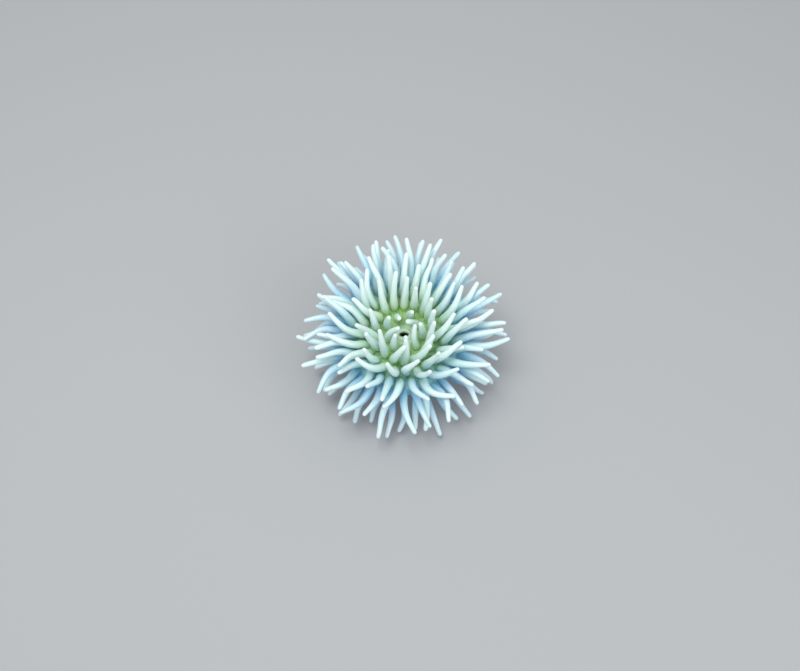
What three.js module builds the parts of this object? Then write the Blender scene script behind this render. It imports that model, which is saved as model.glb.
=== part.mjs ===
// A sea anemone at life size, standing on its foot with its crown of stout tentacles open.
// Millimetres, +Z up, -Y is the side that the crown leans towards. The origin is the middle of the foot's sole.
//
// The flesh is one shape, parted by thin cuts: foot, column, disc, lips, and one ring of disc for each cycle of
// tentacles, cut into sectors of three tentacles. The body is drawn upright and round first, then posed: the disc is
// ruffled and the column bends forward. The tentacles grow from the posed disc and push each other aside until
// none touch.
import * as THREE from 'three';
import { mergeGeometries, mergeVertices } from 'three/addons/utils/BufferGeometryUtils.js';

// ---- Body, upright -------------------------------------------------------------------------------------------
const FOOT_RADIUS = 30;
const FOOT_HEIGHT = 5;
const WAIST_RADIUS = 23.5;
const WAIST_HEIGHT = 17;
const COLUMN_SPLIT = 25; // height of the cut between the lower and the upper column
const COLLAR_SPLIT = 34; // height of the cut between the upper column and the collar
const MARGIN_RADIUS = 42.5; // axis of the disc's rolled margin
const MARGIN_HEIGHT = 43;
const ROLL = 9; // radius of the rolled margin
const DISC_DIP = 7; // how far the disc falls from its margin to its centre
const LIP_RADIUS = 6.6;
const THROAT_RADIUS = 2.4;
const THROAT_DEPTH = 9;
const LIP_RISE = 2.6;
const DISC_EDGE = 10.9; // where the bare disc ends and the first cycle begins
const LAST_STATION = 62.6; // where the last cycle ends and the column begins
const FLESH = 5; // depth of the cut slabs under the disc's surface
const GAP = 0.3; // width of every cut
const LEDGE = 0.5; // further gap at the column's faces, whose facets are wider than the slabs'
const TURNS = 24; // facets round the body
const LIP_TURNS = 16;

// ---- Pose ----------------------------------------------------------------------------------------------------
const LEAN = THREE.MathUtils.degToRad(16);
const LEAN_FROM = 6; // heights between which the column bends
const LEAN_TO = 38;
const RUFFLE = 2.2; // height of the margin's three waves
const RUFFLE_PHASE = 0.6;
const FOOT_LOBES = 0.035;

// ---- Tentacles -----------------------------------------------------------------------------------------------
// station is the distance from the mouth over the disc's surface; rise is the angle above the disc, in degrees, at
// the root and at the tip; sway is how far the water leans them over, as a share of their own direction.
const CYCLES = [
  { name: 'first', count: 9, station: 15.4, root: 4.1, length: 31, rise: [90, 112], sway: 0.2, wander: 1.2 },
  { name: 'second', count: 18, station: 24.2, root: 4.1, length: 40, rise: [84, 62], sway: 0.38, wander: 1.5 },
  { name: 'third', count: 24, station: 33, root: 4.15, length: 43, rise: [66, 30], sway: 0.4, wander: 1.4 },
  { name: 'fourth', count: 30, station: 41.6, root: 4.05, length: 43, rise: [50, 12], sway: 0.2, wander: 1.3 },
  { name: 'fifth', count: 36, station: 50, root: 3.9, length: 40, rise: [30, -8], sway: 0.05, wander: 1.2 },
  { name: 'sixth', count: 36, station: 58.4, root: 3.7, length: 36, rise: [2, -42], sway: 0, wander: 1.1 },
];
const PER_SECTOR = 3;
const TIP_RADIUS = 1.6;
const TAPER = 1.3;
const NECK = 0.2; // how much thinner a tentacle is at its root than just above it
const CLUMP = 20; // degrees that neighbours turn towards each other
const PARTING = 45; // degrees, and the way out from the mouth along which the inner tentacles part
const PARTING_AT = THREE.MathUtils.degToRad(252);
const PARTING_TO = 30; // the station where the parting ends
const CURRENT = new THREE.Vector3(0.25, 0.95, 0);
const UPSTREAM = 2; // how much more the water leans the tentacles that it reaches first
const LINKS = 8; // straight lengths that each tentacle is settled in
const SIDES = 6;
const RINGS = [0.06, 0.48, 0.93]; // shares of a tentacle's length where its facets bend
const FACET_SWELL = 1.05; // the corners stand out, so that the flats are not too thin
const CLEARANCE = 1.1; // least gap between settled tentacles
const SETTLE_STEPS = 200;

// A repeatable random number between low and high.
let state = 60;
function spread(low, high) {
  state = (Math.imul(state, 1664525) + 1013904223) >>> 0;
  return low + ((high - low) * state) / 4294967296;
}

const smooth = (x, from, to) => THREE.MathUtils.smoothstep(x, from, to);

// Height of the disc's surface at a radius, up to the margin's axis.
const discHeight = (r) => MARGIN_HEIGHT + ROLL - DISC_DIP * (1 - r / MARGIN_RADIUS) ** 2;

// A point of the upright section, as (radius, height): station mm from the mouth over the disc and round the rolled
// margin, and depth mm under the surface.
function section(station, depth = 0) {
  if (station <= MARGIN_RADIUS) return new THREE.Vector2(station, discHeight(station) - depth);
  const turn = Math.PI / 2 - (station - MARGIN_RADIUS) / ROLL;
  return new THREE.Vector2(
    MARGIN_RADIUS + (ROLL - depth) * Math.cos(turn),
    MARGIN_HEIGHT + (ROLL - depth) * Math.sin(turn),
  );
}

// Radius of the column's wall at a height, from the sole to the rolled margin.
const FLARE = section(LAST_STATION + LEDGE);
function wall(height) {
  const [edge, far] =
    height < WAIST_HEIGHT ? [FOOT_RADIUS, WAIST_HEIGHT] : [FLARE.x, FLARE.y - WAIST_HEIGHT];
  return WAIST_RADIUS + (edge - WAIST_RADIUS) * ((height - WAIST_HEIGHT) / far) ** 2;
}

// Carries an upright point to its posed place: the foot's edge is lobed, the disc is ruffled, and the column bends
// forward as an arc between two heights, with all above it straight.
function pose(p) {
  const r = Math.hypot(p.x, p.y);
  const around = Math.atan2(p.y, p.x);
  const lobe = 1 + FOOT_LOBES * Math.sin(5 * around + 1) * (1 - smooth(p.z, 0, WAIST_HEIGHT));
  const wave =
    RUFFLE * smooth(r, 14, 50) * smooth(p.z, WAIST_HEIGHT, MARGIN_HEIGHT) * Math.sin(3 * around + RUFFLE_PHASE);
  const bendRadius = (LEAN_TO - LEAN_FROM) / LEAN;
  const z = p.z + wave;
  const turn = THREE.MathUtils.clamp((z - LEAN_FROM) / bendRadius, 0, LEAN);
  const beyond = z < LEAN_FROM ? z - LEAN_FROM : Math.max(z - LEAN_TO, 0);
  const y = p.y * lobe;
  return new THREE.Vector3(
    p.x * lobe,
    -bendRadius + (bendRadius + y) * Math.cos(turn) - beyond * Math.sin(turn),
    LEAN_FROM + (bendRadius + y) * Math.sin(turn) + beyond * Math.cos(turn),
  );
}

// ---- Solids --------------------------------------------------------------------------------------------------
// The same geometry with every vertex moved by a function of its place.
function moved(geometry, place) {
  const position = geometry.getAttribute('position');
  const p = new THREE.Vector3();
  for (let i = 0; i < position.count; i++) {
    p.fromBufferAttribute(position, i);
    position.setXYZ(i, ...place(p).toArray());
  }
  return geometry;
}

// One closed body from open pieces that meet edge to edge.
function welded(pieces) {
  for (const piece of pieces) {
    piece.deleteAttribute('normal');
    piece.deleteAttribute('uv');
  }
  return mergeVertices(mergeGeometries(pieces), 1e-3);
}

// A round body from (radius, height) points listed up the outside, turned about Z and stood upright.
function turned(points, turns = TURNS) {
  return new THREE.LatheGeometry(points, turns).rotateX(Math.PI / 2);
}

const at = (r, z) => new THREE.Vector2(r, z);
const steps = (from, to, count) =>
  Array.from({ length: count + 1 }, (_, i) => from + ((to - from) * i) / count);

// ---- Sub-parts of the body -------------------------------------------------------------------------------------
function footShape() {
  const side = steps(0.8, FOOT_HEIGHT - GAP / 2, 2).map((z) => at(wall(z), z));
  return turned([at(0, 0), at(FOOT_RADIUS - 1.2, 0), ...side, at(0, FOOT_HEIGHT - GAP / 2)]);
}

function lowerColumnShape() {
  const [low, high] = [FOOT_HEIGHT + GAP / 2, COLUMN_SPLIT - GAP / 2];
  const side = steps(low, high, 4).map((z) => at(wall(z), z));
  return turned([at(0, low), ...side, at(0, high)]);
}

function upperColumnShape() {
  const [low, high] = [COLUMN_SPLIT + GAP / 2, COLLAR_SPLIT - GAP / 2];
  const side = steps(low, high, 2).map((z) => at(wall(z), z));
  return turned([at(0, low), ...side, at(0, high)]);
}

// The collar is the core of the rolled margin. It carries the slabs of the disc, and the throat is sunk in it.
function collarShape() {
  const low = COLLAR_SPLIT + GAP / 2;
  const side = [low, FLARE.y].map((z) => at(wall(z), z));
  const under = FLESH + GAP + LEDGE;
  const margin = steps(LAST_STATION + LEDGE, MARGIN_RADIUS, 3).map((s) => section(s, under));
  const top = [26, LIP_RADIUS + 1].map((s) => section(s, under));
  const floor = discHeight(0) - THROAT_DEPTH;
  return turned([
    at(0, low),
    ...side,
    ...margin,
    ...top,
    at(THROAT_RADIUS, section(THROAT_RADIUS, under).y),
    at(THROAT_RADIUS * 0.6, floor),
    at(0, floor),
  ]);
}

function oralDiscShape() {
  const [inner, outer] = [LIP_RADIUS + GAP, DISC_EDGE - GAP / 2];
  return turned([section(inner, FLESH), section(outer, FLESH), section(outer), section(inner), section(inner, FLESH)]);
}

// The lips: a raised ring whose opening is drawn out along X into a slit.
function lipsShape() {
  const rim = section(LIP_RADIUS).y;
  const ring = turned(
    [
      section(THROAT_RADIUS, FLESH),
      section(LIP_RADIUS, FLESH),
      at(LIP_RADIUS, rim + 0.4),
      at(LIP_RADIUS * 0.82, rim + LIP_RISE * 0.85),
      at(LIP_RADIUS * 0.6, rim + LIP_RISE),
      at(THROAT_RADIUS, rim + LIP_RISE * 0.3),
      section(THROAT_RADIUS, FLESH),
    ],
    LIP_TURNS,
  );
  return moved(ring, (p) => {
    const inner = 1 - smooth(Math.hypot(p.x, p.y), THROAT_RADIUS, LIP_RADIUS);
    return new THREE.Vector3(p.x * (1 + 0.35 * inner), p.y * (1 - 0.5 * inner), p.z);
  });
}

// Places the corners of a sector of disc: x is how far round it, from -1 to 1, y is 0 at its inner edge and 1 at its
// outer, and z is 0 on the skin and 1 below. The sector's ends stand half a cut back from its neighbours'.
function sectorPlace(from, to, middle, half) {
  return (p) => {
    const corner = section(Math.round(p.y) ? to : from, FLESH * Math.round(p.z));
    const share = Math.round(p.x * PER_SECTOR) / PER_SECTOR;
    const around = middle + share * (half - GAP / 2 / corner.x);
    return pose(new THREE.Vector3(corner.x * Math.cos(around), corner.x * Math.sin(around), corner.y));
  };
}

// A sector of disc with its tentacles. The slab is a box without its top, and each tentacle is drawn out of its own
// share of that top.
function sectorShape(place, grown) {
  const box = new THREE.BoxGeometry(2, 1, 1, 2 * PER_SECTOR).translate(0, 0.5, 0.5);
  const top = box.groups[5];
  const faces = Array.from(box.index.array);
  faces.splice(top.start, top.count);
  box.setIndex(faces);
  box.clearGroups();
  const share = 1 / PER_SECTOR;
  const arms = grown.map((tentacle, n) => {
    const centre = -1 + share * (2 * n + 1);
    return armShape(tentacle, (u, v) => place(new THREE.Vector3(centre + share * u, v < 0 ? 0 : 1, 0)));
  });
  return welded([moved(box, place), ...arms]);
}

// ---- Tentacles -----------------------------------------------------------------------------------------------
// One tentacle on its own curve, as joints from the root outwards, before its neighbours push it.
function grow(cycle, index, phase) {
  const pitch = (2 * Math.PI) / cycle.count;
  const around = phase + pitch * (index + 0.5 + spread(-0.07, 0.07));
  const station = cycle.station + spread(-0.2, 0.2);
  const length = cycle.length * spread(0.84, 1.12);
  const root = cycle.root * spread(0.92, 1.02);
  const beside = Math.sin(around - PARTING_AT);
  const inner = station < PARTING_TO && Math.cos(around - PARTING_AT) > 0;
  const parted = inner ? beside * Math.exp(-4 * beside * beside) : 0;
  const clump = CLUMP * Math.sin(7 * around + 4 * station);
  const swing = cycle.wander * spread(-26, 26) + clump + PARTING * parted;
  const lift = cycle.wander * spread(-15, 15);
  const twist = cycle.wander * spread(-20, 20);
  const sway = cycle.sway * (1 + UPSTREAM * Math.max(0, -Math.sin(around)));
  const place = (depth) => {
    const { x, y } = section(station, depth);
    return pose(new THREE.Vector3(x * Math.cos(around), x * Math.sin(around), y));
  };
  const outwards = place(0).sub(place(1)).normalize();
  const joints = [place(0)];
  const link = length / LINKS;
  for (let i = 0; i < LINKS; i++) {
    const t = (i + 0.5) / LINKS;
    const rise = THREE.MathUtils.degToRad(THREE.MathUtils.lerp(...cycle.rise, t) + lift);
    const turn = around + THREE.MathUtils.degToRad(swing * t + twist * Math.sin(2 * Math.PI * t));
    const way = new THREE.Vector3(Math.cos(turn) * Math.cos(rise), Math.sin(turn) * Math.cos(rise), Math.sin(rise))
      .addScaledVector(CURRENT, sway * t)
      .applyAxisAngle(new THREE.Vector3(1, 0, 0), LEAN)
      .normalize()
      .addScaledVector(outwards, i === 0 ? 3 : 0)
      .setLength(link);
    joints.push(joints[i].clone().add(way));
  }
  return { cycle, index, root, joints, link, target: joints.map((j) => j.clone()) };
}

// Radius of a tentacle at a share of its length, with a slight neck just above the root.
const taper = (root, t) => (root + (TIP_RADIUS - root) * t ** TAPER) * (1 - NECK * Math.max(0, 1 - 8 * t));

// Points on the skin of the disc and margin, which no tentacle may sink into.
function skinPoints() {
  const points = [];
  for (const station of steps(3, LAST_STATION, 18)) {
    const { x, y } = section(station);
    const count = Math.round((2 * Math.PI * x) / 3.6);
    for (let i = 0; i < count; i++) {
      const around = (2 * Math.PI * i) / count;
      const place = (r, z) => pose(new THREE.Vector3(r * Math.cos(around), r * Math.sin(around), z));
      const below = section(station, 1);
      const at = place(x, y);
      points.push({ at, radius: 0, out: at.clone().sub(place(below.x, below.y)).normalize() });
    }
  }
  return points;
}

// Two sample points on every link, and one at the tip, stand for a tentacle's flesh.
function samplesOf(tentacles) {
  return tentacles.flatMap((tentacle) =>
    steps(0, LINKS, 2 * LINKS).map((place) => {
      const i = Math.min(Math.floor(place), LINKS - 1);
      const radius = taper(tentacle.root, place / LINKS);
      return { tentacle, i, share: place - i, radius, at: new THREE.Vector3(), push: new THREE.Vector3() };
    }),
  );
}

// Pairs of samples of different tentacles, and of samples past the root with the disc's skin, that may soon touch.
function closePairs(samples, skin) {
  const reach = 5;
  const pairs = [];
  samples.forEach((a, n) => {
    for (let m = n + 1; m < samples.length; m++) {
      const b = samples[m];
      const near = a.radius + b.radius + reach;
      if (b.tentacle !== a.tentacle && a.at.distanceToSquared(b.at) < near * near) pairs.push([a, b, 0.5]);
    }
    if (a.i < 1) return;
    const near = a.radius + reach;
    for (const b of skin) if (a.at.distanceToSquared(b.at) < near * near) pairs.push([a, b, 1]);
  });
  return pairs;
}

// Neighbouring tentacles push each other apart while each is drawn back to its own curve and keeps its length.
function settle(tentacles) {
  const skin = skinPoints();
  const samples = samplesOf(tentacles);
  const away = new THREE.Vector3();
  let pairs = [];
  for (let step = 0; step < SETTLE_STEPS; step++) {
    const ease = Math.max(0, 1 - step / (SETTLE_STEPS * 0.7));
    for (const s of samples) {
      s.at.lerpVectors(s.tentacle.joints[s.i], s.tentacle.joints[s.i + 1], s.share);
      s.push.set(0, 0, 0);
    }
    if (step % 15 === 0) pairs = closePairs(samples, skin);
    for (const [a, b, share] of pairs) {
      const need = a.radius + b.radius + CLEARANCE;
      away.subVectors(a.at, b.at);
      if (b.out) away.addScaledVector(b.out, -2 * Math.min(0, away.dot(b.out)));
      const far = away.length();
      if (far >= need) continue;
      away.setLength((need - far) * share);
      a.push.add(away);
      if (b.push) b.push.sub(away);
    }
    for (const { joints, target } of tentacles) {
      const before = joints.map((j) => j.clone());
      for (let i = 1; i <= LINKS; i++) {
        joints[i].lerp(target[i], 0.08 * ease);
        if (i === LINKS) continue;
        away.addVectors(before[i - 1], before[i + 1]).multiplyScalar(0.5).sub(before[i]);
        joints[i].addScaledVector(away, 0.12 * ease);
      }
    }
    for (const { tentacle, i, share, push } of samples) {
      if (i > 0) tentacle.joints[i].addScaledVector(push, (1 - share) * 0.6);
      tentacle.joints[i + 1].addScaledVector(push, i > 0 ? share * 0.6 : 0.6);
    }
    for (const { joints, link } of tentacles) {
      for (let i = 1; i <= LINKS; i++) {
        joints[i].z = Math.max(joints[i].z, 6);
        away.subVectors(joints[i], joints[i - 1]).setLength(link);
        joints[i].addVectors(joints[i - 1], away);
      }
    }
  }
  return tentacles;
}

// A tapering arm: a turned profile, open below, bent along its joints. Its lowest ring is spread out to the edge of
// its share of the disc.
function armShape({ root, joints }, edge) {
  const curve = new THREE.CatmullRomCurve3(joints, false, 'catmullrom', 0.5);
  const profile = [0, ...RINGS, 1].map((t) => at(t < 1 ? taper(root, t) * FACET_SWELL : 0, t));
  const side = new THREE.Vector3();
  const other = new THREE.Vector3();
  const outwards = edge(0, 1).sub(edge(0, -1));
  return moved(turned(profile, SIDES), (p) => {
    const t = THREE.MathUtils.clamp(p.z, 0, 1);
    if (t < RINGS[0] / 2) return edge(-Math.round(p.x / root), p.y);
    const along = curve.getTangent(t);
    side.crossVectors(outwards, along).normalize();
    other.crossVectors(along, side);
    return curve.getPoint(t).addScaledVector(side, p.x).addScaledVector(other, p.y);
  });
}

// ---- Assembly ------------------------------------------------------------------------------------------------
const skin = new THREE.MeshStandardMaterial({ name: 'column', color: 0xc9d3c4, roughness: 0.45, metalness: 0 });
const discSkin = new THREE.MeshStandardMaterial({ name: 'disc', color: 0x9dbb86, roughness: 0.4, metalness: 0 });
const arms = new THREE.MeshStandardMaterial({ name: 'tentacles', color: 0xc6e2dc, roughness: 0.35, metalness: 0 });

const anemone = new THREE.Group();
function addMesh(name, geometry, material) {
  const mesh = new THREE.Mesh(geometry, material);
  mesh.name = name;
  anemone.add(mesh);
}

addMesh('foot', moved(footShape(), pose), skin);
addMesh('column_lower', moved(lowerColumnShape(), pose), skin);
addMesh('column_upper', moved(upperColumnShape(), pose), skin);
addMesh('collar', moved(collarShape(), pose), skin);
addMesh('oral_disc', moved(oralDiscShape(), pose), discSkin);
addMesh('lips', moved(lipsShape(), pose), discSkin);

const phases = CYCLES.map(() => spread(0, 2 * Math.PI));
const tentacles = settle(
  CYCLES.flatMap((cycle, n) => Array.from({ length: cycle.count }, (_, i) => grow(cycle, i, phases[n]))),
);

CYCLES.forEach((cycle, n) => {
  const from = n === 0 ? DISC_EDGE : (CYCLES[n - 1].station + cycle.station) / 2;
  const to = n === CYCLES.length - 1 ? LAST_STATION : (cycle.station + CYCLES[n + 1].station) / 2;
  const half = (Math.PI * PER_SECTOR) / cycle.count;
  for (let k = 0; k * PER_SECTOR < cycle.count; k++) {
    const grown = tentacles.filter((t) => t.cycle === cycle && Math.floor(t.index / PER_SECTOR) === k);
    const place = sectorPlace(from + GAP / 2, to - GAP / 2, phases[n] + half * (2 * k + 1), half);
    addMesh(`tentacles_${cycle.name}_${k + 1}`, sectorShape(place, grown), arms);
  }
});

export default anemone;
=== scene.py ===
"""A sea anemone at life size: one seamless skin of flesh from the foot to the tips of the tentacles."""

import math

import bmesh
import bpy
import numpy as np
from mathutils import Color, Matrix, Vector
from mathutils.bvhtree import BVHTree


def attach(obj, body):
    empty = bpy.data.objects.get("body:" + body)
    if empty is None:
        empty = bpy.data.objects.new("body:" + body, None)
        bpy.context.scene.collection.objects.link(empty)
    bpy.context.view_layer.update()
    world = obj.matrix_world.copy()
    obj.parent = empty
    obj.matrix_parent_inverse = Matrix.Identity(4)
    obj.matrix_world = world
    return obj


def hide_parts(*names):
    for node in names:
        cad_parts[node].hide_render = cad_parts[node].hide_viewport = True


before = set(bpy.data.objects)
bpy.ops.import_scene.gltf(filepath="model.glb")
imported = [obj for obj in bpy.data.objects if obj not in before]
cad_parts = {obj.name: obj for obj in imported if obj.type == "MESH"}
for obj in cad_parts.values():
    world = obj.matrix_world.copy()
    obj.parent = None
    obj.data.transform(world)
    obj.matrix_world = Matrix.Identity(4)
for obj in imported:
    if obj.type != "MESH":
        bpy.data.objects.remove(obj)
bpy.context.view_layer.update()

# ---- Body ----------------------------------------------------------------------------------------
# A soft hollow body of one flesh: a flat foot that grips the ground, a column that narrows at the
# waist, and a wide disc whose margin rolls outwards. It is drawn upright and round in millimetres,
# then posed: the disc is ruffled and the column leans forward.
TURN = 2 * math.pi
FOOT_RADIUS = 30.0
WAIST_RADIUS, WAIST_HEIGHT = 23.5, 17.0
MARGIN_RADIUS, MARGIN_HEIGHT = 42.5, 43.0  # axis of the rolled margin
ROLL = 9.0
DISC_DIP = 7.0
LAST_STATION = 62.6  # where the rolled margin meets the column, in mm over the skin from the mouth
LEAN = math.radians(16)
LEAN_FROM, LEAN_TO = 6.0, 38.0
RUFFLES, RUFFLE, RUFFLE_PHASE = 3, 2.2, 0.6
RUFFLE_FROM, RUFFLE_TO = 14.0, 50.0
LOBES, LOBE_DEPTH, LOBE_PHASE = 5, 0.035, 1.0  # of the foot's outline


def smoothstep(x, low, high):
    """0 below low, 1 above high, and a smooth rise between them."""
    t = min(1.0, max(0.0, (x - low) / (high - low)))
    return t * t * (3 - 2 * t)


def section(station, depth=0.0):
    """Radius and height of the point station mm from the mouth, over the disc and its margin."""
    if station <= MARGIN_RADIUS:
        fall = DISC_DIP * (1 - station / MARGIN_RADIUS) ** 2
        return station, MARGIN_HEIGHT + ROLL - fall - depth
    turn = math.pi / 2 - (station - MARGIN_RADIUS) / ROLL
    return (MARGIN_RADIUS + (ROLL - depth) * math.cos(turn),
            MARGIN_HEIGHT + (ROLL - depth) * math.sin(turn))


FLARE_RADIUS, FLARE_HEIGHT = section(LAST_STATION)


def wall(height):
    """Radius of the column at a height."""
    edge, far = FLARE_RADIUS, FLARE_HEIGHT - WAIST_HEIGHT
    if height < WAIST_HEIGHT:
        edge, far = FOOT_RADIUS, WAIST_HEIGHT
    return WAIST_RADIUS + (edge - WAIST_RADIUS) * ((height - WAIST_HEIGHT) / far) ** 2


def posed(radius, around, height):
    """Where a point of the upright body goes when the disc is ruffled and the column leans."""
    lobe = LOBE_DEPTH * math.sin(LOBES * around + LOBE_PHASE)
    lobe = 1 + lobe * (1 - smoothstep(height, 0, WAIST_HEIGHT))
    rise = smoothstep(radius, RUFFLE_FROM, RUFFLE_TO)
    rise *= smoothstep(height, WAIST_HEIGHT, MARGIN_HEIGHT)
    z = height + RUFFLE * rise * math.sin(RUFFLES * around + RUFFLE_PHASE)
    bend = (LEAN_TO - LEAN_FROM) / LEAN
    turn = min(LEAN, max(0.0, (z - LEAN_FROM) / bend))
    beyond = z - LEAN_FROM if z < LEAN_FROM else max(z - LEAN_TO, 0.0)
    reach = bend + radius * math.sin(around) * lobe
    return Vector((radius * math.cos(around) * lobe,
                   -bend + reach * math.cos(turn) - beyond * math.sin(turn),
                   LEAN_FROM + reach * math.sin(turn) + beyond * math.cos(turn)))


def on_skin(station, around, depth=0.0):
    """The posed place of a point of the disc, or depth mm below it."""
    radius, height = section(station, depth)
    return posed(radius, around, height)


# ---- Tentacles: how they grow --------------------------------------------------------------------
# Six cycles of hollow, water-filled fingers stand on the disc and are part of its flesh. Each grows
# along its own curve, leaning with the current, and neighbours push each other aside until none touch.
CYCLES = [
    # count, station, root radius, length, rise at root and tip, sway in the current, wandering
    (9, 15.4, 4.1, 31.0, (90.0, 112.0), 0.2, 1.2),
    (18, 24.2, 4.1, 40.0, (84.0, 62.0), 0.38, 1.5),
    (24, 33.0, 4.15, 43.0, (66.0, 30.0), 0.4, 1.4),
    (30, 41.6, 4.05, 43.0, (50.0, 12.0), 0.2, 1.3),
    (36, 50.0, 3.9, 40.0, (30.0, -8.0), 0.05, 1.2),
    (36, 58.4, 3.7, 36.0, (2.0, -42.0), 0.0, 1.1),
]
TIP_RADIUS = 1.6
TAPER, NECK = 1.3, 0.2
CLUMP = 20.0  # degrees that tentacles turn towards the rest of their clump
SWING, LIFT, TWIST = 26.0, 15.0, 20.0  # degrees that one strays: aside, up or down, and to and fro
PARTING, PARTING_AT = 45.0, math.radians(252)  # the inner ones part along one way from the mouth
PARTING_TO = 30.0
CURRENT = Vector((0.25, 0.95, 0.0))
UPSTREAM = 2.0  # how much more the current leans the tentacles that it reaches first
LINKS = 8
random_state = 60


def spread(low, high):
    """A repeatable random number between low and high."""
    global random_state
    random_state = (random_state * 1664525 + 1013904223) % 2**32
    return low + (high - low) * random_state / 2**32


def taper(root, t):
    """Radius of a tentacle at a share of its length, with a slight neck just above the root."""
    return (root + (TIP_RADIUS - root) * t**TAPER) * (1 - NECK * max(0.0, 1 - 8 * t))


def grow(cycle, index, phase):
    """One tentacle of a cycle: its root, and the joints of its curve before the settling."""
    count, ring, root, length, rise, sway, wander = cycle
    around = phase + TURN / count * (index + 0.5 + spread(-0.07, 0.07))
    station = ring + spread(-0.2, 0.2)
    length *= spread(0.84, 1.12)
    root *= spread(0.92, 1.02)
    beside = math.sin(around - PARTING_AT)
    inner = station < PARTING_TO and math.cos(around - PARTING_AT) > 0
    parted = beside * math.exp(-4 * beside * beside) if inner else 0
    clump = CLUMP * math.sin(7 * around + 4 * station)
    swing = wander * spread(-SWING, SWING) + clump + PARTING * parted
    lift = wander * spread(-LIFT, LIFT)
    twist = wander * spread(-TWIST, TWIST)
    sway *= 1 + UPSTREAM * max(0.0, -math.sin(around))
    start = on_skin(station, around)
    outwards = (start - on_skin(station, around, 1.0)).normalized()
    joints = [start]
    link = length / LINKS
    for i in range(LINKS):
        t = (i + 0.5) / LINKS
        up = math.radians(rise[0] + (rise[1] - rise[0]) * t + lift)
        turn = around + math.radians(swing * t + twist * math.sin(TURN * t))
        way = Vector((math.cos(turn) * math.cos(up), math.sin(turn) * math.cos(up), math.sin(up)))
        way = Matrix.Rotation(LEAN, 3, "X") @ (way + CURRENT * sway * t)
        way = way.normalized() + (outwards * 3 if i == 0 else Vector())
        joints.append(joints[i] + way.normalized() * link)
    return {"station": station, "around": around, "root": root, "link": link,
            "outwards": outwards, "joints": joints}


# ---- Tentacles: how they settle ------------------------------------------------------------------
# The crowded tentacles are soft and give way to each other and to the disc, as they do in water. None
# is stretched, and each stays near its own curve.
SKIN_ROWS, SKIN_PITCH, SKIN_FROM = 18, 3.6, 3.0  # points that stand for the disc
SETTLE_STEPS, LOOK_STEPS, LOOK_FAR = 200, 15, 5.0  # neighbours are looked for now and then
CLEARANCE = 1.1
HOLD, STRAIGHTEN, EASED_AT = 0.08, 0.12, 0.7  # the pull to its own curve fades as it settles
GIVE = 0.6
LOWEST = 6.0  # of a joint above the ground


def skin_points():
    """Points of the disc, which no tentacle may sink into, and the way out of the flesh at each."""
    points, ways = [], []
    for i in range(SKIN_ROWS + 1):
        station = SKIN_FROM + (LAST_STATION - SKIN_FROM) * i / SKIN_ROWS
        count = math.floor(TURN * section(station)[0] / SKIN_PITCH + 0.5)
        for k in range(count):
            around = TURN * k / count
            points.append(on_skin(station, around))
            ways.append((points[-1] - on_skin(station, around, 1.0)).normalized())
    return np.array(points), np.array(ways)


def settle(tentacles):
    """Pushes neighbours apart while each is drawn back to its own curve and keeps its length."""
    joints = np.array([t["joints"] for t in tentacles])
    target = joints.copy()
    link = np.array([t["link"] for t in tentacles])[:, None]
    skin, skin_way = skin_points()
    places = np.arange(2 * LINKS + 1) / 2
    lower = np.minimum(places.astype(int), LINKS - 1)
    share = places - lower
    radius = np.array([[taper(t["root"], p / LINKS) for p in places] for t in tentacles])
    owner = np.repeat(np.arange(len(tentacles)), len(places))
    radius = radius.ravel()
    past_root = np.flatnonzero(np.tile(lower >= 1, len(tentacles)))
    for step in range(SETTLE_STEPS):
        ease = max(0.0, 1 - step / (SETTLE_STEPS * EASED_AT))
        at = joints[:, lower] * (1 - share)[:, None] + joints[:, lower + 1] * share[:, None]
        at = at.reshape(-1, 3)
        if step % LOOK_STEPS == 0:
            gap = np.linalg.norm(at[:, None] - at[None], axis=2)
            near = gap < radius[:, None] + radius[None] + LOOK_FAR
            near &= owner[:, None] < owner[None]
            one, other = np.nonzero(near)
            gap = np.linalg.norm(at[past_root, None] - skin[None], axis=2)
            low, ground = np.nonzero(gap < radius[past_root, None] + LOOK_FAR)
            low = past_root[low]
        push = np.zeros_like(at)
        away = at[one] - at[other]
        far = np.linalg.norm(away, axis=1)
        need = radius[one] + radius[other] + CLEARANCE
        away *= (np.maximum(need - far, 0) * 0.5 / far)[:, None]
        np.add.at(push, one, away)
        np.add.at(push, other, -away)
        away = at[low] - skin[ground]
        sunk = np.minimum(np.sum(away * skin_way[ground], axis=1), 0)
        away -= 2 * sunk[:, None] * skin_way[ground]
        far = np.linalg.norm(away, axis=1)
        away *= (np.maximum(radius[low] + CLEARANCE - far, 0) / far)[:, None]
        np.add.at(push, low, away)
        push = push.reshape(len(tentacles), len(places), 3)
        before = joints.copy()
        joints[:, 1:] += (target[:, 1:] - before[:, 1:]) * HOLD * ease
        middle = (before[:, :-2] + before[:, 2:]) / 2
        joints[:, 1:-1] += (middle - before[:, 1:-1]) * STRAIGHTEN * ease
        for k, i in enumerate(lower):
            if i > 0:
                joints[:, i] += push[:, k] * (1 - share[k]) * GIVE
            joints[:, i + 1] += push[:, k] * (share[k] * GIVE if i > 0 else GIVE)
        for i in range(1, LINKS + 1):
            joints[:, i, 2] = np.maximum(joints[:, i, 2], LOWEST)
            away = joints[:, i] - joints[:, i - 1]
            away /= np.linalg.norm(away, axis=1)[:, None]
            joints[:, i] = joints[:, i - 1] + away * link
    for tentacle, settled in zip(tentacles, joints):
        tentacle["joints"] = [Vector(j) for j in settled]


phases = [spread(0, TURN) for _ in CYCLES]
tentacles = [grow(cycle, i, phase) for cycle, phase in zip(CYCLES, phases) for i in range(cycle[0])]
settle(tentacles)

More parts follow.
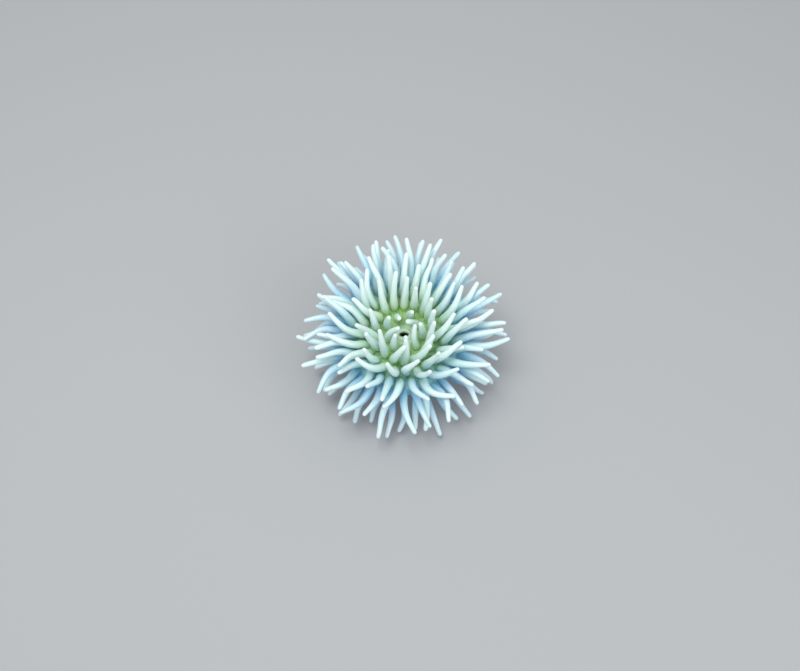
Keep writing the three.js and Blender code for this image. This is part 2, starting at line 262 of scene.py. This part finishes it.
# ---- Disc ----------------------------------------------------------------------------------------
# The skin is one sheet. It starts as a flat plan of the mouth disc with a round opening for each
# tentacle's root, which is unwrapped as it lies and then laid over the disc and its rolled margin.
ROOT_SIDES = 8
MARGIN_SIDES = 144
MOUTH_SIDES = 36
MOUTH_STATION, MARGIN_STATION = 10.9, LAST_STATION + 0.6
ROUNDING = 1.1  # makes up for what the smoothing takes off a ring of eight sides

flesh = bmesh.new()
straight = flesh.verts.layers.float_vector.new("straight")  # place in cm, were all of it upright
reach = flesh.verts.layers.float.new("reach")  # distance in cm over the skin from the mouth
along = flesh.verts.layers.float.new("along")  # 0 at a tentacle's root, 1 at its tip
tint = flesh.verts.layers.float.new("tint")  # each tentacle's own shade
flat = flesh.loops.layers.uv.new("OFBake")
turn_of = {}  # how far round its ring each corner of the skin is, from 0 to 1


def lay(v, radius, around, height, skin_reach):
    """Puts a corner of the skin on the posed body."""
    v.co = posed(radius, around, height)
    v[straight] = Vector((radius * math.cos(around), radius * math.sin(around), height)) / 10
    v[reach] = skin_reach / 10


def plan_loop(sides, place):
    """A closed ring on the plan, whose corners are at the station and angle that place gives."""
    ring = bmesh.ops.create_circle(flesh, segments=sides, radius=1)["verts"]
    for v in ring:
        turn = math.atan2(v.co.y, v.co.x)
        turn_of[v] = turn / TURN % 1
        station, around = place(turn)
        v.co = (station * math.cos(around), station * math.sin(around), 0)
    return ring


def root_loop(tentacle):
    """The opening that a tentacle is drawn out of."""
    radius = tentacle["root"] * (1 - NECK) * ROUNDING

    def place(turn):
        station = tentacle["station"] + radius * math.cos(turn)
        return station, tentacle["around"] + radius * math.sin(turn) / section(station)[0]

    return plan_loop(ROOT_SIDES, place)


def round_patch(middle, size, edge):
    """Where the unwrap has a point of a round piece, by its turn and its distance from the middle."""
    def place(turn, distance):
        radius = size * distance / edge
        return middle[0] + radius * math.cos(TURN * turn), middle[1] + radius * math.sin(TURN * turn)

    return place


disc_patch = round_patch((0.135, 0.865), 0.13, MARGIN_STATION)
margin = plan_loop(MARGIN_SIDES, lambda turn: (MARGIN_STATION, turn))
mouth = plan_loop(MOUTH_SIDES, lambda turn: (MOUTH_STATION, turn))
roots = [root_loop(t) for t in tentacles]
bmesh.ops.triangle_fill(flesh, use_beauty=True, edges=flesh.edges[:], normal=(0, 0, 1))
bmesh.ops.join_triangles(flesh, faces=flesh.faces[:], angle_face_threshold=0.1,
                         angle_shape_threshold=math.radians(50))
for face in flesh.faces:
    for corner in face.loops:
        at = corner.vert.co.xy
        corner[flat].uv = disc_patch(math.atan2(at.y, at.x) / TURN, at.length)
for v in flesh.verts:
    station, around = v.co.xy.length, math.atan2(v.co.y, v.co.x)
    lay(v, section(station)[0], around, section(station)[1], station)

# ---- Tentacles: flesh ----------------------------------------------------------------------------
# Each is drawn out of its opening in the disc, along its curve, into a finger that is stout to the
# middle and tapers to a blunt, slightly swollen tip. It is a little uneven along its length, as soft
# flesh is.
RING_SHARES = [0.03, 0.075, 0.14, 0.23, 0.34, 0.46, 0.58, 0.7, 0.81, 0.9, 0.945, 0.975, 0.993]
TIP_SWELL = (-0.04, 0.16)
TIP_SWELL_AT, TIP_SWELL_LENGTH = 3.2, 2.4  # from the tip
KNOBS, WAVES = 0.025, 0.02  # unevenness in short and long waves, as shares of the radius
STRIP_COLUMNS, STRIP_ROWS, STRIPS_TOP = 12, 13, 0.72  # of the unwrap


def curve_point(points, t):
    """The point at share t of the smooth curve through the joints."""
    place = min(max(t, 0.0), 0.99999) * (len(points) - 1)
    i = int(place)
    w = place - i
    b, c = points[i], points[i + 1]
    a = points[i - 1] if i > 0 else 2 * b - c
    d = points[i + 2] if i + 2 < len(points) else 2 * c - b
    return (b + (c - a) * 0.5 * w + (2 * a - 5 * b + 4 * c - d) * 0.5 * w**2
            + (3 * b - 3 * c + d - a) * 0.5 * w**3)


def draw_ring(ring, patch, start, end):
    """Draws a ring of the skin out into the next one, and unwraps the band between them on a patch."""
    old = set(ring)
    edges = list(dict.fromkeys(e for v in ring for e in v.link_edges if set(e.verts) <= old))
    made = bmesh.ops.extrude_edge_only(flesh, edges=edges)["geom"]
    new = [g for g in made if isinstance(g, bmesh.types.BMVert)]
    for v in new:
        turn_of[v] = next(turn_of[w] for e in v.link_edges for w in e.verts if w in old)
    for band in (g for g in made if isinstance(g, bmesh.types.BMFace)):
        turns = [turn_of[v] for v in band.verts]
        wraps = max(turns) - min(turns) > 0.5
        for corner, turn in zip(band.loops, turns):
            corner[flat].uv = patch(turn + (wraps and turn < 0.5), start if corner.vert in old else end)
    return new


def strip_patch(number):
    """Where the unwrap has a point of one tentacle: a strip of its own with a little room round it."""
    column, row = number % STRIP_COLUMNS, number // STRIP_COLUMNS
    width, height = 1 / STRIP_COLUMNS, STRIPS_TOP / STRIP_ROWS
    return lambda turn, t: ((column + 0.03 + 0.94 * t) * width, (row + 0.06 + 0.88 * turn) * height)


def draw_tentacle(ring, tentacle, patch):
    """Draws one finger out of its opening, ring by ring, and closes it at the tip."""
    points = tentacle["joints"]
    length = tentacle["link"] * LINKS
    shade, swell, waves = spread(0, 1), spread(*TIP_SWELL), spread(0, TURN)
    centre, way = points[0], tentacle["outwards"]
    side = on_skin(tentacle["station"], tentacle["around"] + 0.01) - centre
    side = (side - way * side.dot(way)).normalized()
    across = way.cross(side)
    foot = sum((v[straight] for v in ring), Vector()) / len(ring)
    for v in ring:
        v[tint] = shade
        turn_of[v] = math.atan2((v.co - centre).dot(across), (v.co - centre).dot(side)) / TURN % 1
    before = 0.0
    for t in [*RING_SHARES, 1.0]:
        ring = draw_ring(ring, patch, before, t)
        centre = curve_point(points, t)
        new_way = (curve_point(points, t + 0.01) - curve_point(points, t - 0.01)).normalized()
        side = way.rotation_difference(new_way) @ side
        way, before = new_way, t
        across = way.cross(side)
        to_tip = (1 - t) * length
        radius = taper(tentacle["root"], t) * ROUNDING
        radius *= 1 + swell * math.exp(-(((to_tip - TIP_SWELL_AT) / TIP_SWELL_LENGTH) ** 2))
        radius *= 1 + KNOBS * math.sin(26 * t + waves) + WAVES * math.sin(11 * t + 3 * waves)
        if to_tip < TIP_RADIUS:
            radius *= math.sqrt(1 - (1 - to_tip / TIP_RADIUS) ** 2)
        for v in ring:
            x, y = radius * math.cos(TURN * turn_of[v]), radius * math.sin(TURN * turn_of[v])
            v.co = centre + side * x + across * y
            v[straight] = foot + Vector((x, y, t * length)) / 10
            v[along] = t
    bmesh.ops.pointmerge(flesh, verts=ring, merge_co=centre)


for number, (ring, tentacle) in enumerate(zip(roots, tentacles)):
    draw_tentacle(ring, tentacle, strip_patch(number))

# ---- Mouth ---------------------------------------------------------------------------------------
# The inner edge of the disc is drawn in and up into puckered lips, and down into a short blind
# throat. Lips and throat are wider across than from front to back, so the mouth is a slit.
LIP_RADIUS, LIP_RISE = 6.6, 2.6
THROAT_RADIUS, THROAT_DEPTH = 2.4, 6.2
SLIT_WIDE, SLIT_FLAT = 0.35, 0.4
PUCKERS, PUCKER = 18, 0.3
rim = section(LIP_RADIUS)[1]
DISC_RINGS = [(radius, section(radius)[1]) for radius in (9.9, 8.4, 7.3)]  # radius and height
LIP_RINGS = [(LIP_RADIUS, rim + 0.4), (6.0, rim + 1.5), (5.1, rim + 2.3), (4.2, rim + LIP_RISE),
             (3.3, rim + 2.1), (THROAT_RADIUS, rim + 0.8)]
THROAT_RINGS = [(2.2, rim - 1.2), (1.9, rim - 3.5), (1.2, rim - 5.8), (0.3, rim - THROAT_DEPTH)]

ring, before = mouth, MOUTH_STATION
for radius, height in DISC_RINGS + LIP_RINGS + THROAT_RINGS:
    ring = draw_ring(ring, disc_patch, before, radius)
    before = radius
    slit = 1 - smoothstep(radius, THROAT_RADIUS, LIP_RADIUS)
    pucker = PUCKER * smoothstep(height, rim, rim + LIP_RISE)
    for v in ring:
        around = TURN * turn_of[v]
        x = radius * math.cos(around) * (1 + SLIT_WIDE * slit)
        y = radius * math.sin(around) * (1 - SLIT_FLAT * slit)
        puckered = height + pucker * math.cos(PUCKERS * around)
        lay(v, math.hypot(x, y), math.atan2(y, x), puckered, radius)
bmesh.ops.pointmerge(flesh, verts=ring, merge_co=posed(0, 0, rim - THROAT_DEPTH))

# ---- Column --------------------------------------------------------------------------------------
# The outer edge of the disc is drawn down into the column, which is of firmer flesh: under the rolled
# margin, in to the waist, and out to the foot. Furrows run down it where the inner walls join, and
# its waist and lower part are wrinkled across.
RING_PITCH = 2.1
FURROWS, FURROW, FURROWS_TO = 24, 0.4, 34.0
WRINKLE, WRINKLE_WAVE = 0.4, 0.85
WRINKLES_FROM, WRINKLES_TO = (1, 5), (16, 30)
FRINGE, FRINGE_TO = 0.45, 4.0  # unevenness of the foot's edge


def relief(around, height):
    """How far the wall stands out between furrows, on wrinkles and at the foot's uneven edge."""
    furrow = FURROW * (abs(math.cos(FURROWS / 2 * around)) - 0.6)
    furrow *= 1 + 0.5 * math.sin(3 * around + 0.1 * height)
    wander = 1.3 * math.sin(5 * around) + 0.8 * math.sin(9 * around + 2)
    wrinkle = WRINKLE * math.sin(WRINKLE_WAVE * height + wander)
    wrinkle *= (1 - smoothstep(height, *WRINKLES_TO)) * smoothstep(height, *WRINKLES_FROM)
    fringe = FRINGE * (math.sin(13 * around + 1) + 0.7 * math.sin(31 * around))
    fringe *= 1 - smoothstep(height, 0, FRINGE_TO)
    return (furrow + wrinkle) * (1 - smoothstep(height, FURROWS_TO, FLARE_HEIGHT)) + fringe


def column_patch(turn, distance):
    """Where the unwrap has a point of the column, by its turn and its distance from the mouth."""
    return 0.28 + 0.58 * turn, 0.99 - 0.25 * (distance - MARGIN_STATION) / 80


rings = math.floor((FLARE_HEIGHT - 3) / RING_PITCH)
heights = [*(FLARE_HEIGHT - 1.2 - RING_PITCH * k for k in range(rings)), 2.2, 1.1]
distance, ring = MARGIN_STATION, margin
height_above = FLARE_HEIGHT
for height in heights:
    before = distance
    distance += math.hypot(height_above - height, wall(height_above) - wall(height))
    height_above = height
    ring = draw_ring(ring, column_patch, before, distance)
    for v in ring:
        around = TURN * turn_of[v]
        lay(v, wall(height) + relief(around, height), around, height, distance)

# ---- Foot ----------------------------------------------------------------------------------------
# The column spreads into a round foot with a thin uneven edge. The sole under it is flat, and the
# animal grips the ground with it like a sucker.
EDGE_HEIGHT = 0.45
SOLE_RADII = (FOOT_RADIUS - 0.3, FOOT_RADIUS - 1, 24.0, 16.0, 8.0, 1.0)
sole_patch = round_patch((0.935, 0.935), 0.055, FOOT_RADIUS)

ring = draw_ring(ring, column_patch, distance, distance + 1)
distance += 1
for v in ring:
    around = TURN * turn_of[v]
    lay(v, FOOT_RADIUS + relief(around, EDGE_HEIGHT), around, EDGE_HEIGHT, distance)
before = FOOT_RADIUS
for radius in SOLE_RADII:
    ring = draw_ring(ring, sole_patch, before, radius)
    before = radius
    for v in ring:
        around = TURN * turn_of[v]
        edge = 1 + relief(around, 0.0) / FOOT_RADIUS
        lay(v, radius * edge, around, 0.0, distance + FOOT_RADIUS - radius)
bmesh.ops.pointmerge(flesh, verts=ring, merge_co=posed(0, 0, 0))

# ---- Warts ---------------------------------------------------------------------------------------
# Small sticky warts stand in rows on the upper column, one row on each swelling between two furrows.
# They are of the same flesh, so each is raised from a little patch of the wall.
WARTS, WART_TOP, WART_PITCH = 5, 36.0, 4.2
WART_INSET, WART_RISE, WART_SHOULDER = 0.35, 0.8, 0.6

wart = flesh.verts.layers.float.new("wart")  # 1 on top of a wart
wall_faces = [f for f in flesh.faces if all(v[reach] > MARGIN_STATION / 10 for v in f.verts)]
middles = np.array([sum((v[straight] for v in f.verts), Vector()) / len(f.verts) for f in wall_faces])
bumps = []
for row in range(FURROWS):
    around = TURN * row / FURROWS
    for k in range(WARTS):
        height = WART_TOP - WART_PITCH * (k + 0.5 * (row % 2))
        x, y = wall(height) * math.cos(around), wall(height) * math.sin(around)
        nearest = np.argsort(np.linalg.norm(middles - np.array([x, y, height]) / 10, axis=1))[:2]
        bumps.append([wall_faces[n] for n in nearest])
bmesh.ops.recalc_face_normals(flesh, faces=flesh.faces[:])
bmesh.ops.inset_region(flesh, faces=[f for bump in bumps for f in bump], thickness=WART_INSET,
                       use_even_offset=True)
for bump in bumps:
    top = {v for f in bump for v in f.verts}
    crest = [v for v in top if all(v in f.verts for f in bump)]
    way = sum((f.normal for f in bump), Vector()).normalized()
    for verts, share in ((list(top), WART_SHOULDER), (crest, 1 - WART_SHOULDER)):
        bmesh.ops.translate(flesh, verts=verts, vec=way * (WART_RISE * share))
        for v in verts:
            v[wart] += share

# ---- Skin: pressed parts -------------------------------------------------------------------------
# The flesh is soft, so where two tentacles are crowded together each one gives way a little, and
# neither passes into the other.
PRESS, PRESS_ROUNDS = 0.12, 12

for _ in range(PRESS_ROUNDS):
    flesh.faces.ensure_lookup_table()
    flesh.normal_update()
    tree = BVHTree.FromBMesh(flesh)
    crossing = [[set(flesh.faces[n].verts) for n in pair] for pair in tree.overlap(tree)]
    pressed = {v for one, other in crossing if not one & other for v in one}
    if not pressed:
        break
    for v in pressed:
        v.co -= v.normal * PRESS

# ---- Skin: finish --------------------------------------------------------------------------------
# One thin wet skin covers all the flesh. The disc is green, and a tentacle turns from green or blue at
# its root to a near-white tip.
# Its side turned away from the light is painted bluer as painted shade, and its upper side whiter as a
# painted highlight.
# The column is cream-grey with whitish warts, and tanned towards the foot.
# The painted light side: 1 where the skin faces up the crown, 0 where it faces down. It sets painted
# shade on the tentacles' undersides and a painted highlight on their upper sides.
facing = flesh.verts.layers.float.new("facing")  # 1 where the skin faces up the crown, 0 where down
flesh.normal_update()
crown_way = Matrix.Rotation(LEAN, 3, "X") @ Vector((0, 0, 1))
for v in flesh.verts:
    v[facing] = 0.5 + 0.5 * v.normal.dot(crown_way)
bmesh.ops.scale(flesh, vec=(0.001, 0.001, 0.001), verts=flesh.verts[:])
skin_mesh = bpy.data.meshes.new("skin")
flesh.to_mesh(skin_mesh)
flesh.free()
skin_mesh.shade_smooth()
skin = bpy.data.objects.new("skin", skin_mesh)
bpy.context.scene.collection.objects.link(skin)
smoothing = skin.modifiers.new("smoothing", "SUBSURF")
smoothing.levels = smoothing.render_levels = 1


def paint(code):
    """A colour from its web code."""
    red, green, blue = (int(code[i:i + 2], 16) / 255 for i in (0, 2, 4))
    return (*Color((red, green, blue)).from_srgb_to_scene_linear(), 1.0)


class Flow:
    """What flows out of a finish's node: a value, a vector or a colour. Sums on values add nodes."""

    def __init__(self, socket):
        self.socket = socket

    def add(self, kind, settings, sockets, output=0):
        """Adds a node to the same finish, sets it, and gives its sockets their values or links."""
        tree = self.socket.id_data
        node = tree.nodes.new(kind)
        for name, value in settings.items():
            if name != "stops":
                setattr(node, name, value)
                continue
            while len(node.color_ramp.elements) < len(value):
                node.color_ramp.elements.new(1)
            for stop, (place, colour) in zip(node.color_ramp.elements, value):
                stop.position, stop.color = place, colour
        for name, value in sockets.items():
            if isinstance(value, Flow):
                tree.links.new(value.socket, node.inputs[name])
            else:
                node.inputs[name].default_value = value
        return Flow(node.outputs[output])

    def math(self, operation, other=0.0):
        return self.add("ShaderNodeMath", {"operation": operation}, {0: self, 1: other})

    def __add__(self, other):
        return self.math("ADD", other)

    def __mul__(self, other):
        return self.math("MULTIPLY", other)

    def __rsub__(self, other):
        return self * -1 + other

    __radd__ = __add__
    __rmul__ = __mul__

    def noted(self, name, output="Fac"):
        """What the mesh notes under a name."""
        return self.add("ShaderNodeAttribute", {"attribute_name": name}, {}, output)

    def step(self, low, high):
        """Rises smoothly from 0 where this is at low to 1 where it is at high."""
        return self.add("ShaderNodeMapRange", {"interpolation_type": "SMOOTHSTEP"},
                        {"Value": self, "From Min": low, "From Max": high})

    def ramp(self, *stops):
        """The colour that the stops give to this value."""
        stops = [(at, paint(code)) for at, code in stops]
        return self.add("ShaderNodeValToRGB", {"stops": stops}, {"Fac": self})

    def grain(self, scale, detail=3.0, stretch=(1, 1, 1)):
        """A fine cloudy grain at this place, drawn out along an axis where its stretch is small."""
        place = self.add("ShaderNodeMapping", {}, {"Vector": self, "Scale": stretch})
        return self.add("ShaderNodeTexNoise", {}, {"Vector": place, "Scale": scale, "Detail": detail})


WALLS = 48
SKIN_REACH = 12.0  # cm over the skin from the mouth to the foot
flesh_finish = bpy.data.materials.new("flesh")
flesh_finish.use_nodes = True
shader = flesh_finish.node_tree.nodes["Principled BSDF"]
start = Flow(shader.outputs[0])
place = start.noted("straight", "Vector")
x, y = (start.add("ShaderNodeSeparateXYZ", {}, {0: place}, axis) for axis in (0, 1))
around = y.math("ARCTAN2", x)
out = start.noted("reach")
up_arm = start.noted("along")
shade = start.noted("tint")
painted_light = start.noted("facing")
mottle = place.grain(3.0)
blotches = place.grain(0.9, 4.0)
streaks = place.grain(10.0, 4.0, (1, 1, 0.12))
fine = place.grain(30.0)
specks = place.grain(17.0, 1.0)
creases = place.grain(5.0, 3.0, (0.5, 0.5, 4.0))
on_arm = up_arm.step(0.0, 0.05)
outer = out.step(2.2, 5.4)


def colour_over(colour, under, share):
    """A colour, or a web code's, over another one in the share given."""
    colour = paint(colour) if isinstance(colour, str) else colour
    return share.add("ShaderNodeMix", {"data_type": "RGBA"}, {0: share, 6: under, 7: colour}, 2)


# The inner walls show through the disc and the column as pale lines.
rays = (around * WALLS).math("COSINE")
spokes = rays.step(0.2, 1.0)
on_disc = out.step(0.7, 0.9) * (1 - out.step(3.5, 5.5))
# From the throat over the lips, disc and margin, and down the column to the foot. The throat is painted
# near-black, as painted shade in its deep opening.
body = (out * (1 / SKIN_REACH)).ramp(
    (0.0, "0A110D"), (0.018, "1E2C22"), (0.028, "BCD6BC"), (0.042, "EAF6EA"), (0.060, "D2ECD0"),
    # The outer disc and margin are painted teal-blue, as painted shade down among the outer tentacles'
    # roots.
    (0.085, "AAD392"), (0.16, "8CBF6C"), (0.27, "98CC96"), (0.36, "86C4C6"), (0.50, "93C2DC"),
    (0.57, "CAD6CC"), (0.68, "DAD6C0"), (0.84, "D0C5A8"), (0.97, "BFA58A"))
body = colour_over("D6EBB8", body, spokes * on_disc * 0.4)
body = colour_over("77AD58", body, mottle.step(0.45, 0.7) * on_disc * 0.35)
on_wall = out.step(6.2, 6.8)
lines = rays.step(0.4, 1.0)
body = colour_over("ECEADB", body, lines * mottle.step(0.35, 0.6) * on_wall * 0.3)
body = colour_over("B4A88A", body, blotches.step(0.42, 0.68) * on_wall * 0.4)
body = colour_over("9C9074", body, mottle.step(0.55, 0.75) * on_wall * 0.35)
body = colour_over("EEF0E2", body, start.noted("wart").step(0.3, 1.0) * 0.9)

# The outer tentacles are bluer than the inner ones, and each has its own tint. Their teal-blue roots
# are painted shade, deep down in the crowded crown.
root = colour_over("78BEDC", paint("DCF0C2"), outer)
arm = colour_over("94C4E0", root, up_arm.step(0.04, 0.5) * (0.25 + 0.75 * outer))
arm = colour_over("D4F0E8", arm, shade.step(0.3, 0.9) * up_arm.step(0.05, 0.4) * (1 - 0.5 * outer))
arm = colour_over("C8DCEE", arm, (1 - shade.step(0.1, 0.3)) * up_arm.step(0.05, 0.5) * 0.6)
# Painted shade: the undersides of the tentacles, turned away from the light, are painted periwinkle
# blue, more so on the outer ones.
arm = colour_over("84A8E0", arm, (1 - painted_light.step(0.25, 0.8)) * (0.12 + 0.5 * outer))
# The tips are near-white, and whiter still on their upper sides as a painted highlight where the light
# falls.
arm = colour_over("E4F5F2", arm, up_arm.step(0.1, 0.85) * (0.5 + 0.4 * painted_light) * (1 - 0.35 * outer))
arm = colour_over("EAF6EE", arm, streaks.step(0.5, 0.75) * 0.3)
arm = colour_over("F3FAF2", arm, specks.step(0.55, 0.75) * 0.25)
colour = colour_over(arm, body, on_arm)
height = streaks * 0.5 + fine * 0.3 + creases * 0.4
height = height + spokes * on_disc * 0.35 + lines * on_wall * 0.3
bump = start.add("ShaderNodeBump", {}, {"Height": height, "Strength": 0.5, "Distance": 0.0005})
links = flesh_finish.node_tree.links
links.new(colour.socket, shader.inputs["Base Color"])
links.new((fine * 0.15 + 0.3).socket, shader.inputs["Roughness"])
links.new(bump.socket, shader.inputs["Normal"])
for name, amount in (("Subsurface Weight", 0.5), ("Subsurface Radius", (0.8, 1.0, 0.9)),
                     ("Subsurface Scale", 0.005), ("Coat Weight", 0.15), ("Coat Roughness", 0.2)):
    shader.inputs[name].default_value = amount
skin_mesh.materials.append(flesh_finish)
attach(skin, "root")
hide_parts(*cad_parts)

# ---- Floor, light and camera ---------------------------------------------------------------------
# A plain pale floor, which isn't part of the animal, under the soft light of two round lamps and a
# bright studio. It is seen from well above the front.
FLOOR_HALF = 4
floor = bmesh.new()
bmesh.ops.create_grid(floor, x_segments=1, y_segments=1, size=FLOOR_HALF)
floor_mesh = bpy.data.meshes.new("floor")
floor.to_mesh(floor_mesh)
floor.free()
floor_object = bpy.data.objects.new("floor", floor_mesh)
bpy.context.scene.collection.objects.link(floor_object)
floor_finish = bpy.data.materials.new("pale_floor")
floor_finish.use_nodes = True
floor_shader = floor_finish.node_tree.nodes["Principled BSDF"]
floor_shader.inputs["Base Color"].default_value = paint("A9ABAD")
floor_shader.inputs["Roughness"].default_value = 0.8
floor_mesh.materials.append(floor_finish)


def soft_light(name, place, aim, size, power, colour):
    """A round lamp of the studio, turned towards what it lights."""
    light = bpy.data.lights.new(name, "AREA")
    light.shape, light.size, light.energy, light.color = "DISK", size, power, colour
    lamp = bpy.data.objects.new(name, light)
    lamp.location = place
    lamp.rotation_euler = (Vector(aim) - Vector(place)).to_track_quat("-Z", "Y").to_euler()
    bpy.context.scene.collection.objects.link(lamp)


crown = on_skin(0, 0) / 1000
soft_light("key_light", (-0.25, -0.1, 1.25), crown, 0.7, 8, (1.0, 1.0, 0.98))
soft_light("fill_light", (0.9, -0.7, 0.7), crown, 1.2, 4, (0.95, 0.98, 1.0))
world = bpy.data.worlds.new("studio")
world.use_nodes = True
glow = world.node_tree.nodes["Background"].inputs
glow["Color"].default_value = (0.95, 0.98, 1.0, 1.0)
glow["Strength"].default_value = 0.75
bpy.context.scene.world = world
bpy.context.scene.view_settings.view_transform = "Standard"

CAMERA_RISE, CAMERA_AWAY, CAMERA_ASIDE = math.radians(60), 0.944, -0.0034
lens = bpy.data.cameras.new("camera")
lens.lens, lens.sensor_width = 50, 36
camera = bpy.data.objects.new("camera", lens)
aim = crown + Vector((CAMERA_ASIDE, 0, 0))
camera.location = aim + CAMERA_AWAY * Vector((0, -math.cos(CAMERA_RISE), math.sin(CAMERA_RISE)))
camera.rotation_euler = (math.pi / 2 - CAMERA_RISE, 0, 0)
bpy.context.scene.collection.objects.link(camera)
bpy.context.scene.camera = camera

bpy.context.view_layer.update()
